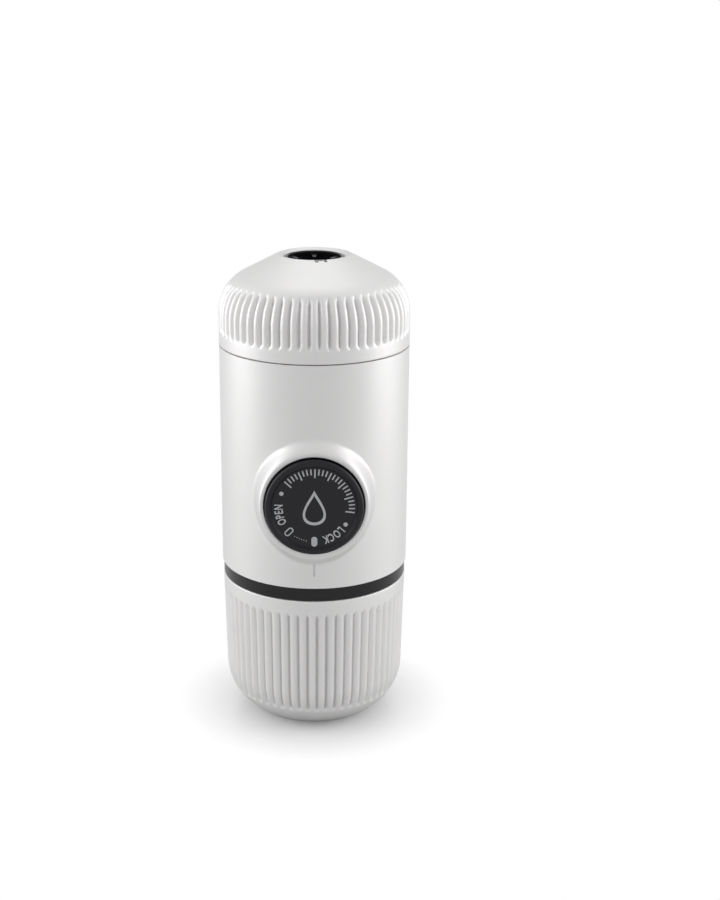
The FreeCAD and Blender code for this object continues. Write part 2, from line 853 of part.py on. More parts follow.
def make_head_shell():
    """The ribbed dome with a rounded rim round the spout opening."""
    centre, rim = dome_points()
    top = 90 - dome_slope
    low = seam_height + joint_line / 2
    inner = dome_shoulder_radius - shell_wall
    knee = on_circle(centre, dome_shoulder_radius, 0)
    hip = on_circle(centre, dome_shoulder_radius, top)
    touch = on_circle(rim, rim_radius, top)
    inner_knee = on_circle(centre, inner, 0)
    inner_hip = on_circle(centre, inner, top)
    shelf = total_height - rim_depth
    run = (shelf - inner_hip[1]) / math.tan(math.radians(dome_slope))
    inner_touch = (inner_hip[0] - run, shelf)
    opening = (spout_opening_radius, shelf)
    edges = [
        line((body_radius, low), knee),
        bend(centre, dome_shoulder_radius, 0, top),
        line(hip, touch),
        bend(rim, rim_radius, top, 180),
        line((spout_opening_radius, rim[1]), opening),
        line(opening, inner_touch),
        line(inner_touch, inner_hip),
        bend(centre, inner, top, 0),
        line(inner_knee, (shell_inner, low)),
        line((shell_inner, low), (body_radius, low)),
    ]
    shell = turned(edges)
    shell = shell.cut(Part.makeCompound(around(head_groove(), rib_count, head_groove_turn)))
    return shell.cut(rim_block(fit_gap, tongue_low() - fit_gap, total_height + fit_gap))


def tongue_low():
    return total_height - tongue_drop - tongue_thickness


def rim_block(gap, low, high, reach=tongue_reach):
    """A block across the rim at the tongue's place, grown by a gap."""
    inside = nozzle_bore_radius + nozzle_skin
    length = spout_opening_radius + reach + gap - inside
    width = tongue_width + 2 * gap
    block = Part.makeBox(length, width, high - low, V(inside, -width / 2, low))
    block.rotate(ORIGIN, UP, tongue_turn)
    return block


def make_outlet_nozzle():
    """Short black tube with a holed floor and a tongue that lies in a notch of the rim."""
    tube = ring(nozzle_radius, nozzle_bore_radius, cup_high, nozzle_top)
    high = total_height - tongue_drop
    neck = nozzle_radius - spout_opening_radius
    tongue = rim_block(0, tongue_low(), high).fuse(rim_block(0, nozzle_top - tongue_root, high, neck))
    floor_top = nozzle_floor + nozzle_floor_thickness
    floor = disc(nozzle_bore_radius, nozzle_floor, floor_top)
    middle = (nozzle_hub_radius + nozzle_bore_radius) / 2
    width = (nozzle_bore_radius - nozzle_hub_radius) / 2 - nozzle_hole_margin
    hole = disc(width, nozzle_floor, floor_top, middle)
    floor = floor.cut(Part.makeCompound(around(hole, nozzle_hole_count, 180 / nozzle_hole_count)))
    hub = disc(nozzle_hub_radius, nozzle_floor, nozzle_floor + nozzle_hub_height)
    nozzle = fused([tube, floor, hub, tongue])
    return nozzle.cut(disc(nozzle_hub_bore, nozzle_floor, nozzle_floor + nozzle_hub_height))


PIECES = {
    "tank_shell": make_tank_shell,
    "tank_liner": make_tank_liner,
    "tank_seal": make_tank_seal,
    "inlet_strainer": make_inlet_strainer,
    "collar": make_collar,
    "grip_band": make_grip_band,
    "collar_screws": make_collar_screws,
    "air_valve": make_air_valve,
    "body_shell": make_body_shell,
    "chassis": make_chassis,
    "brew_neck": make_brew_neck,
    "neck_screws": make_neck_screws,
    "knob_guide": make_knob_guide,
    "guide_screws": make_guide_screws,
    "pump_cylinder": make_pump_cylinder,
    "pump_screws": make_pump_screws,
    "inlet_valve": make_inlet_valve,
    "outlet_valve": make_outlet_valve,
    "suction_tube": make_suction_tube,
    "riser_tube": make_riser_tube,
    "piston_rod": make_piston_rod,
    "piston": make_piston,
    "piston_seal": make_piston_seal,
    "return_spring": make_return_spring,
    "knob_cup": make_knob_cup,
    "knob_face": make_knob_face,
    "knob_screw": make_knob_screw,
    "shower_plate": make_shower_plate,
    "brew_seal": make_brew_seal,
    "filter_basket": make_filter_basket,
    "head_gasket": make_head_gasket,
    "head_insert": make_head_insert,
    "head_screen": make_head_screen,
    "head_shell": make_head_shell,
    "outlet_nozzle": make_outlet_nozzle,
}

os.makedirs("parts", exist_ok=True)
for name, make in PIECES.items():
    shape = make()
    print(name, len(shape.Solids), len(shape.Faces), round(shape.Volume), shape.isValid())
    shape.exportStep("parts/" + name + ".step")
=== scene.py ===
"""Looks of the handheld espresso maker: shells, knob, spout, threads, finishes and a plain studio."""

import json
import math

import bmesh
import bpy
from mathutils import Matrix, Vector


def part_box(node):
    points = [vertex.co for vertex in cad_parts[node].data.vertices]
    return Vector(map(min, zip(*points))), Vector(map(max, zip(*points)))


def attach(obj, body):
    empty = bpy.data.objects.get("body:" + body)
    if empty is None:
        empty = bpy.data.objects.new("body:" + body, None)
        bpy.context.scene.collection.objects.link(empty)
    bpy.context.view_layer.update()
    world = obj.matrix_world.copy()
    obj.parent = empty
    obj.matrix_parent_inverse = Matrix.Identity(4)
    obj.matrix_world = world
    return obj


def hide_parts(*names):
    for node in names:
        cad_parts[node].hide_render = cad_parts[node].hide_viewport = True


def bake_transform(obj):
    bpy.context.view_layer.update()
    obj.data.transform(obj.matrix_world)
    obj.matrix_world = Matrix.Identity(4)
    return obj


bl_info = {
    "name": "Handheld espresso maker",
    "version": (1, 0, 0),
    "blender": (4, 5, 0),
    "location": "View3D > Sidebar > Espresso maker",
    "description": "Dresses the packed espresso maker and sets up its studio",
    "category": "Object",
}

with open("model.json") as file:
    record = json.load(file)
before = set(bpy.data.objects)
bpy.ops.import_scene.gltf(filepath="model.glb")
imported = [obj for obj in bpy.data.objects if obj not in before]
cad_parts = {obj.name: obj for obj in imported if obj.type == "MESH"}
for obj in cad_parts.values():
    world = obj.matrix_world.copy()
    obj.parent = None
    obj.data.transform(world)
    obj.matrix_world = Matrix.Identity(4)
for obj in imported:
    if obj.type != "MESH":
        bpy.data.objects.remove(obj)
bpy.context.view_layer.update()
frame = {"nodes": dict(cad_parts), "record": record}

MM = 0.001
FULL_TURN = 2 * math.pi
CAD = frame["nodes"]

# Where the pieces are, read from the frame
BODY_LOW, BODY_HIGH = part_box("body_shell")
HEAD_LOW, HEAD_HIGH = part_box("head_shell")
FACE_LOW, FACE_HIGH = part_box("knob_face")
SPRING_LOW, SPRING_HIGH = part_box("return_spring")
NECK_LOW, NECK_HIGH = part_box("brew_neck")
TOTAL_HEIGHT = HEAD_HIGH.z
TANK_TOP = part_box("tank_shell")[1].z
COLLAR_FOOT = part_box("collar")[0].z
BODY_RADIUS = BODY_HIGH.x
KNOB_HEIGHT = (FACE_LOW.z + FACE_HIGH.z) / 2
FACE_FRONT = FACE_LOW.y

# Sizes that the frame's boxes don't give
SHELL_WALL = 2.2 * MM
COLLAR_RADIUS = 25.9 * MM
NOZZLE_DROP = 2.8 * MM

# Mesh columns from one fin of the spout's lining to the next
FIN_SHARE = 24

# The notch across the spout's rim
NOTCH_TURN = math.radians(280)
NOTCH_HALF_WIDTH = 1.95 * MM
NOTCH_REACH = 2.6 * MM
NOTCH_DEPTH = 1.55 * MM

# The marks on the knob's face, in degrees clockwise from straight down, seen from the front
LOCK_BAR_AT = 0
OPEN_RING_AT = 45
SMALL_DOTS_AT = [12.8 + 4.04 * i for i in range(6)]
LARGE_DOTS_AT = (114.6, -60.7)
WORDS_AT = {"LOCK": -33, "OPEN": 78}
TICKS_AT = [133 + 6 * i for i in range(25)]


# Outlines and meshes

class Outline:
    """A turned outline: places with their outward normals and their way along the line."""

    def __init__(self, r, z):
        self.rows = []
        self.place = (r, z)
        self.way = 0.0

    def add(self, r, z, nr, nz):
        step = math.hypot(r - self.place[0], z - self.place[1])
        self.way += step
        self.place = (r, z)
        if step > 0 or not self.rows:
            self.rows.append((r, z, nr, nz, self.way))

    def line_to(self, r, z, step=3 * MM):
        r0, z0 = self.place
        length = math.hypot(r - r0, z - z0)
        count = max(1, round(length / step))
        for i in range(count + 1):
            t = i / count
            self.add(r0 + (r - r0) * t, z0 + (z - z0) * t, (z - z0) / length, (r0 - r) / length)

    def arc(self, centre, radius, start, end, step):
        """An arc between two angles in degrees, counted from outwards to upwards."""
        side = 1 if end > start else -1
        count = max(2, round(abs(math.radians(end - start)) * radius / step))
        for i in range(count + 1):
            a = math.radians(start + (end - start) * i / count)
            c, s = math.cos(a), math.sin(a)
            self.add(centre[0] + radius * c, centre[1] + radius * s, side * c, side * s)


def grid_faces(rows, columns, capped=False):
    """Quads between rows of points, closed round in each row, and caps on the first and the last row."""
    faces = []
    for i in range(rows - 1):
        a, b = i * columns, (i + 1) * columns
        for j in range(columns):
            k = (j + 1) % columns
            faces.append((a + j, a + k, b + k, b + j))
    if capped:
        last = (rows - 1) * columns
        faces += [tuple(range(columns)), tuple(range(last, last + columns))]
    return faces


def new_piece(name, points, faces, body, look, *, sharp=40):
    """A mesh piece, welded and smooth up to an angle, with its body and its look."""
    mesh = bpy.data.meshes.new(name)
    mesh.from_pydata(points, [], faces)
    shape = bmesh.new()
    shape.from_mesh(mesh)
    bmesh.ops.remove_doubles(shape, verts=shape.verts, dist=0.0005 * MM)
    bmesh.ops.recalc_face_normals(shape, faces=shape.faces)
    shape.to_mesh(mesh)
    shape.free()
    mesh.polygons.foreach_set("use_smooth", [True] * len(mesh.polygons))
    mesh.set_sharp_from_angle(angle=math.radians(sharp))
    mesh.materials.append(finish(look))
    piece = bpy.data.objects.new(name, mesh)
    bpy.context.scene.collection.objects.link(piece)
    if body:
        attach(piece, body)
    return piece


def turned(rows, grooves):
    """Points of an outline turned round Z, sunk between the ribs. The first column lies in a groove."""
    points = []
    for r, z, nr, nz, way in rows:
        for j in range(grooves.columns):
            angle = grooves.turn + FULL_TURN * j / grooves.columns
            depth = grooves.depth(way, j)
            rr = r - nr * depth
            points.append((rr * math.cos(angle), rr * math.sin(angle), z - nz * depth))
    return points


def smooth_step(t):
    t = min(1.0, max(0.0, t))
    return t * t * (3 - 2 * t)


class Grooves:
    """Round ribs with narrow grooves between them, which run out at their two ends."""

    def __init__(self, low, high, turn, fade):
        self.settings = bpy.context.scene.espresso_ribs
        self.low, self.high, self.turn, self.fade = low, high, math.radians(turn), fade
        self.columns = self.settings.rib_count * self.settings.samples

    def depth(self, way, column):
        """How deep the surface lies: none on a rib's crest, and most in the middle of a groove."""
        if not self.low < way < self.high:
            return 0.0
        half = self.settings.samples / 2
        off = column % self.settings.samples
        from_crest = 1 - min(off, self.settings.samples - off) / half
        steep = self.settings.flank
        bulge = 1 - math.cos(math.asin(from_crest * math.sin(steep)))
        foot = smooth_step((way - self.low) / self.settings.foot)
        top = smooth_step((self.high - way) / self.fade)
        return self.settings.depth * bulge / (1 - math.cos(steep)) * min(foot, top)


# Shader maths

class Value:
    """A socket of a shader that is used in sums and products."""

    def __init__(self, tree, socket):
        self.tree = tree
        self.socket = socket

    def _maths(self, operation, *terms):
        return self.tree.add("ShaderNodeMath", {"operation": operation}, dict(enumerate(terms)))

    def __add__(self, other):
        return self._maths("ADD", self, other)

    __radd__ = __add__

    def __mul__(self, other):
        return self._maths("MULTIPLY", self, other)

    __rmul__ = __mul__

    def at_most(self, other):
        return self._maths("MINIMUM", self, other)


class Shader:
    """A node tree whose nodes are added one call at a time."""

    def __init__(self, holder, output):
        holder.use_nodes = True
        self.nodes = holder.node_tree.nodes
        self.links = holder.node_tree.links
        self.nodes.clear()
        self.output = self.nodes.new(output)

    def add(self, kind, settings=None, sockets=None, output=0):
        """A node of a kind: its settings first, then its sockets, by name or number, to values or links."""
        node = self.nodes.new(kind)
        for name, value in (settings or {}).items():
            if name == "stops":
                self._set_stops(node.color_ramp.elements, value)
            else:
                setattr(node, name, value)
        for name, value in (sockets or {}).items():
            if isinstance(value, Value):
                self.links.new(value.socket, node.inputs[name])
            else:
                node.inputs[name].default_value = value
        return Value(self, node.outputs[output])

    def _set_stops(self, ramp, stops):
        for element, (place, shade) in zip(ramp, stops):
            element.position = place
            element.color = (shade, shade, shade, 1.0)

    def place(self):
        """The point on the piece, in metres in the shared frame."""
        return self.add("ShaderNodeTexCoord", output="Object")

    def stretched(self, scale):
        return self.add("ShaderNodeMapping", None, {"Vector": self.place(), "Scale": scale})

    def noise(self, scale, detail=3.0, rough=0.55, vector=None):
        sockets = {"Vector": vector or self.place(), "Scale": scale, "Detail": detail, "Roughness": rough}
        return self.add("ShaderNodeTexNoise", None, sockets)

    def cells(self, scale):
        return self.add("ShaderNodeTexVoronoi", None, {"Vector": self.place(), "Scale": scale})

    def ramp(self, value, low, high):
        """0 below one place and 1 above another."""
        return self.add("ShaderNodeValToRGB", {"stops": ((low, 0.0), (high, 1.0))}, {"Fac": value})

    def mix(self, factor, a, b):
        """A colour between two colours."""
        return self.add("ShaderNodeMix", {"data_type": "RGBA"}, {0: factor, 6: a, 7: b}, output=2)

    def bump(self, height, strength, distance):
        sockets = {"Height": height, "Strength": strength, "Distance": distance}
        return self.add("ShaderNodeBump", None, sockets)

    def seen(self):
        """1 where the camera, gloss or a clear piece looks, and 0 for the light that falls on the maker."""
        path = "ShaderNodeLightPath"
        looks = self.add(path, output="Is Camera Ray") + self.add(path, output="Is Glossy Ray")
        return (looks + self.add(path, output="Is Transmission Ray")).at_most(1.0)

    def finish_with(self, shader):
        self.links.new(shader.socket, self.output.inputs["Surface"])

    def surface(self, **sockets):
        """The Principled surface. Underscores in the names stand for spaces."""
        named = {name.replace("_", " "): value for name, value in sockets.items()}
        self.finish_with(self.add("ShaderNodeBsdfPrincipled", None, named))


def new_material(name):
    material = bpy.data.materials.new(name)
    return material, Shader(material, "ShaderNodeOutputMaterial")


def shade(rgb, factor=1.0):
    return (rgb[0] * factor, rgb[1] * factor, rgb[2] * factor, 1.0)


# Finishes

def white_shell():
    """Satin pearl-white moulding: very fine spark-eroded grain, faint clouds and handling marks."""
    looks = bpy.context.scene.espresso_looks
    material, s = new_material("satin_white_moulding")
    grain = s.noise(5200.0, detail=2.0, rough=0.5)
    cloud = s.noise(38.0, detail=3.0, rough=0.6)
    streaks = s.noise(1.0, detail=3.0, rough=0.6, vector=s.stretched((140.0, 140.0, 22.0)))
    rough = cloud * 0.05 + streaks * 0.05 + (looks.white_roughness - 0.05)
    s.surface(
        Base_Color=s.mix(s.ramp(cloud, 0.35, 0.7), shade(looks.white), shade(looks.white, 0.98)),
        Metallic=looks.white_pearl,
        Specular_Tint=shade((0.3, 0.3, 0.3)),
        Roughness=rough,
        Normal=s.bump(grain, strength=0.12, distance=0.03 * MM),
    )
    return material


def dark_moulding(name, base, roughness, grain_size=0.28 * MM, depth=0.05 * MM):
    """Dark moulded plastic with a fine leathery grain and slightly polished patches."""
    material, s = new_material(name)
    grain = s.cells(1 / grain_size)
    fine = s.noise(1.7 / grain_size, detail=2.0)
    wear = s.noise(60.0, detail=4.0, rough=0.65)
    s.surface(
        Base_Color=s.mix(s.ramp(wear, 0.4, 0.75), shade(base), shade(base, 1.35)),
        Roughness=wear * 0.12 + (roughness - 0.06),
        Specular_IOR_Level=0.3,
        Normal=s.bump(grain * 0.6 + fine * 0.4, strength=0.25, distance=depth),
    )
    return material


def satin_black():
    """The black mouldings inside: liner, collar, chassis, neck and guide."""
    return dark_moulding("satin_black_moulding", (0.024, 0.024, 0.026), roughness=0.42)


def gloss_black():
    """The smoother black of the nozzle and of the spout's lining."""
    base = (0.008, 0.008, 0.009)
    return dark_moulding("gloss_black_moulding", base, roughness=0.2, grain_size=0.5 * MM, depth=0.01 * MM)


def band_black():
    """The band between the tank and the body."""
    looks = bpy.context.scene.espresso_looks
    return dark_moulding("band_black", looks.band, roughness=0.33, grain_size=0.38 * MM, depth=0.02 * MM)


def knob_black():
    """The knob's cup, with its raised rim."""
    looks = bpy.context.scene.espresso_looks
    return dark_moulding("knob_black", looks.knob, roughness=0.4, grain_size=0.24 * MM, depth=0.02 * MM)


def disc_black():
    """The knob's disc, a little smoother than its cup, under the marks."""
    looks = bpy.context.scene.espresso_looks
    return dark_moulding("disc_black", looks.knob, roughness=0.36, grain_size=0.2 * MM, depth=0.01 * MM)


def grey_moulding():
    """The grey mouldings of the pump and the strainer."""
    return dark_moulding("grey_moulding", (0.34, 0.34, 0.35), roughness=0.45)


def printed_ink():
    """Pad-printed ink: matt pale grey, a little broken where it lies over the grain."""
    looks = bpy.context.scene.espresso_looks
    material, s = new_material("printed_ink")
    speck = s.noise(9000.0, detail=3.0, rough=0.7)
    ink = looks.print_colour
    s.surface(
        Base_Color=s.mix(s.ramp(speck, 0.28, 0.42), shade(ink, 0.62), shade(ink)),
        Roughness=speck * 0.1 + 0.55,
        Normal=s.bump(speck, strength=0.2, distance=0.01 * MM),
    )
    return material


def drawn_steel(name, stretch):
    """Stainless steel with fine lines along the axis that the stretch leaves long."""
    base = (0.60, 0.60, 0.585)
    material, s = new_material(name)
    lines = s.noise(1.0, detail=4.0, rough=0.7, vector=s.stretched(stretch))
    haze = s.noise(120.0, detail=3.0)
    s.surface(
        Base_Color=s.mix(s.ramp(haze, 0.3, 0.7), shade(base, 0.9), shade(base)),
        Metallic=1.0,
        Roughness=lines * 0.16 + haze * 0.08 + 0.14,
        Normal=s.bump(lines, strength=0.18, distance=0.02 * MM),
    )
    return material


def turned_steel():
    """Steel with lines that lie level, as on the basket and the screens."""
    return drawn_steel("turned_steel", stretch=(60.0, 60.0, 4200.0))


def rod_steel():
    """Steel with lines along the stroke, as on the rod and the spring."""
    return drawn_steel("rod_steel", stretch=(4200.0, 90.0, 4200.0))


def soft_silicone(name, base, roughness):
    """Silicone with a dusty sheen and faint mottling."""
    material, s = new_material(name)
    mottle = s.noise(420.0, detail=3.0, rough=0.6)
    dust = s.noise(2600.0, detail=2.0)
    s.surface(
        Base_Color=s.mix(mottle, shade(base, 0.9), shade(base, 1.08)),
        Roughness=dust * 0.12 + roughness,
        Sheen_Weight=0.15,
        Normal=s.bump(dust, strength=0.15, distance=0.03 * MM),
    )
    return material


def grey_silicone():
    """The seals and the valves."""
    return soft_silicone("grey_silicone", (0.30, 0.305, 0.31), roughness=0.42)


def milky_hose():
    """The suction tube and the riser tube."""
    return soft_silicone("milky_hose", (0.70, 0.71, 0.70), roughness=0.25)


def studio_paper():
    """White paper that the camera and glossy pieces see as white, and that keeps the shadow."""
    studio = bpy.context.scene.espresso_studio
    material, s = new_material("studio_paper")
    fibres = s.noise(900.0, detail=3.0)
    pale = s.mix(fibres, (0.95, 0.95, 0.95, 1.0), (0.98, 0.98, 0.98, 1.0))
    matt = s.add("ShaderNodeBsdfDiffuse", None, {"Color": pale})
    sheen = s.add("ShaderNodeBsdfGlossy", None, {"Color": (1, 1, 1, 1), "Roughness": 0.25})
    paper = s.add("ShaderNodeMixShader", None, {0: studio.floor_sheen, 1: matt, 2: sheen})
    glow = s.add("ShaderNodeEmission", None, {"Color": (1, 1, 1, 1), "Strength": studio.floor_glow})
    lit = s.add("ShaderNodeAddShader", None, {0: paper, 1: glow})
    white = s.add("ShaderNodeEmission", None, {"Color": (1, 1, 1, 1), "Strength": 1.0})
    radius = s.add("ShaderNodeVectorMath", {"operation": "LENGTH"}, {0: s.place()}, output="Value")
    far = s.ramp(radius, studio.floor_near, studio.floor_far)
    clean = s.add("ShaderNodeMixShader", None, {0: far, 1: lit, 2: white})
    calm = s.add("ShaderNodeBsdfDiffuse", None, {"Color": shade((1, 1, 1), studio.floor_bounce)})
    s.finish_with(s.add("ShaderNodeMixShader", None, {0: s.seen(), 1: calm, 2: clean}))
    return material


SLOT_LOOKS = {
    "white_shell": white_shell,
    "black_moulding": satin_black,
    "black_band": band_black,
    "black_knob": knob_black,
    "knob_disc": disc_black,
    "silicone": grey_silicone,
    "steel": turned_steel,
    "grey_moulding": grey_moulding,
    "clear_tube": milky_hose,
}
NODE_LOOKS = {
    "outlet_nozzle": gloss_black,
    "return_spring": rod_steel,
    "piston_rod": rod_steel,
    "inlet_strainer": grey_moulding,
}
MADE = {}


def finish(look):
    """The material of a look, made once."""
    if look not in MADE:
        MADE[look] = look()
    return MADE[look]


# Sizes and colours that a user would change

class RibSettings(bpy.types.PropertyGroup):
    rib_count: bpy.props.IntProperty(
        name="Ribs", description="Ribs round the tank and round the head", default=60, min=12, max=120)
    flank: bpy.props.FloatProperty(
        name="Flank", description="Slope of a rib's side where it meets the groove",
        default=math.radians(66), subtype="ANGLE")
    foot: bpy.props.FloatProperty(
        name="Foot", description="Length over which a groove runs out at its lower end",
        default=1.6 * MM, unit="LENGTH", precision=5)
    depth: bpy.props.FloatProperty(
        name="Groove depth", description="How deep a groove is in its middle",
        default=1.35 * MM, unit="LENGTH", precision=5)
    samples: bpy.props.IntProperty(
        name="Points per rib", description="Mesh points across one rib and its groove",
        default=12, min=6, max=24)


class LookSettings(bpy.types.PropertyGroup):
    white: bpy.props.FloatVectorProperty(
        name="White", description="Colour of the white shells", subtype="COLOR", default=(0.9, 0.892, 0.888))
    white_roughness: bpy.props.FloatProperty(
        name="White roughness", description="How soft the white shells' highlights are",
        default=0.45, subtype="FACTOR")
    white_pearl: bpy.props.FloatProperty(
        name="Pearl", description="Share of pearly sheen in the white shells", default=0.36, subtype="FACTOR")
    knob: bpy.props.FloatVectorProperty(
        name="Knob", description="Colour of the knob", subtype="COLOR", default=(0.006, 0.006, 0.009))
    band: bpy.props.FloatVectorProperty(
        name="Band", description="Colour of the band", subtype="COLOR", default=(0.004, 0.004, 0.005))
    print_colour: bpy.props.FloatVectorProperty(
        name="Print", description="Colour of the marks on the knob", subtype="COLOR",
        default=(0.75, 0.76, 0.80))


class StudioSettings(bpy.types.PropertyGroup):
    side_power: bpy.props.FloatProperty(
        name="Side lamps", description="Power of each side lamp in watts", default=1.25)
    top_power: bpy.props.FloatProperty(
        name="Top lamp", description="Power of the top lamp in watts", default=1.0)
    fill: bpy.props.FloatProperty(
        name="Fill", description="Strength of the light from all around", default=0.46)
    back_fill: bpy.props.FloatProperty(
        name="Back fill", description="Strength of the light from behind", default=0.3)
    floor_near: bpy.props.FloatProperty(
        name="Shadow end", description="Distance from the maker where the floor starts to turn plain white",
        default=0.024, unit="LENGTH")
    floor_far: bpy.props.FloatProperty(
        name="White start", description="Distance from the maker where the floor is plain white",
        default=0.046, unit="LENGTH")
    floor_sheen: bpy.props.FloatProperty(
        name="Floor sheen", description="How much of the floor's look is a soft reflection",
        default=0.15, subtype="FACTOR")
    floor_glow: bpy.props.FloatProperty(
        name="Floor glow", description="Plain white that the floor adds for the camera", default=0.03)
    floor_bounce: bpy.props.FloatProperty(
        name="Floor bounce", description="Share of its light that the floor throws back", default=0.45)


# The finishes, the pieces and the studio, one operator each

class ESPRESSO_OT_finishes(bpy.types.Operator):
    """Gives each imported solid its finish, by its material slot or its own name"""
    bl_idname = "espresso.finishes"
    bl_label = "Finish the solids"

    def execute(self, context):
        for part in frame["record"]["subparts"]:
            node = part["node"]
            look = NODE_LOOKS.get(node, SLOT_LOOKS[part["material_slot"]])
            CAD[node].data.materials.clear()
            CAD[node].data.materials.append(finish(look))
        return {"FINISHED"}


class ESPRESSO_OT_tank(bpy.types.Operator):
    """Makes the ribbed white cup of the tank"""
    bl_idname = "espresso.tank"
    bl_label = "Tank"

    step: bpy.props.FloatProperty(
        name="Step", description="How far the rim stands in from the body", default=0.3 * MM,
        unit="LENGTH", precision=5)
    taper: bpy.props.FloatProperty(
        name="Taper", description="Lean of the wall", default=math.radians(1.4), subtype="ANGLE")
    edge_height: bpy.props.FloatProperty(
        name="Edge height", description="Height of the centre of the rounded edge", default=16 * MM,
        unit="LENGTH", precision=5)
    edge_width: bpy.props.FloatProperty(
        name="Edge width", description="From the flat base to the widest radius", default=11.2 * MM,
        unit="LENGTH", precision=5)
    groove_low: bpy.props.FloatProperty(
        name="Groove foot", description="Height of the grooves' lower ends", default=7.6 * MM,
        unit="LENGTH", precision=5)
    groove_margin: bpy.props.FloatProperty(
        name="Groove margin", description="From the grooves' upper ends to the rim", default=4.2 * MM,
        unit="LENGTH", precision=5)

    def execute(self, context):
        line, low, high = self.outline()
        grooves = Grooves(low, high, turn=1.7, fade=2 * MM)
        points = turned(line.rows, grooves)
        faces = grid_faces(len(line.rows), grooves.columns, capped=True)
        piece = new_piece("tank_cup", points, faces, "tank", white_shell)
        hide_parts("tank_shell")
        return {"FINISHED"}

    def outline(self):
        """The cup's outline, from the hub of its base round to the hub inside, and its grooves' ends."""
        top_radius = BODY_RADIUS - self.step
        flat = top_radius - self.edge_width
        edge = self.edge_height
        lean = math.sin(self.taper) ** 2
        reach = top_radius - (TANK_TOP - edge) * math.tan(self.taper) - flat
        inward = (reach - math.sqrt(reach ** 2 - lean * (reach ** 2 + edge ** 2))) / lean
        centre = (flat + reach - inward, edge)
        radius = inward * math.cos(self.taper)
        inner = radius - SHELL_WALL
        lip = 0.35 * MM
        hub = 2 * MM
        line = Outline(hub, 0)
        line.line_to(flat, 0, 4 * MM)
        foot = -math.degrees(math.asin(edge / radius))
        knee = -math.degrees(self.taper)
        line.arc(centre, radius, foot, knee, 0.35 * MM)
        knee_way = line.way
        line.line_to(top_radius - lip * math.tan(self.taper), TANK_TOP - lip, 0.6 * MM)
        line.arc((line.place[0] - lip, TANK_TOP - lip), lip, 0, 90, 0.12 * MM)
        line.line_to(top_radius - SHELL_WALL, TANK_TOP)
        line.line_to(centre[0] + inner, edge, 6 * MM)
        line.arc(centre, inner, 0, math.degrees(math.asin((SHELL_WALL - edge) / inner)), 2 * MM)
        line.line_to(hub, SHELL_WALL, 6 * MM)
        below = (math.asin((edge - self.groove_low) / radius) - self.taper) * radius
        above = TANK_TOP - self.groove_margin - edge
        return line, knee_way - below, knee_way + above


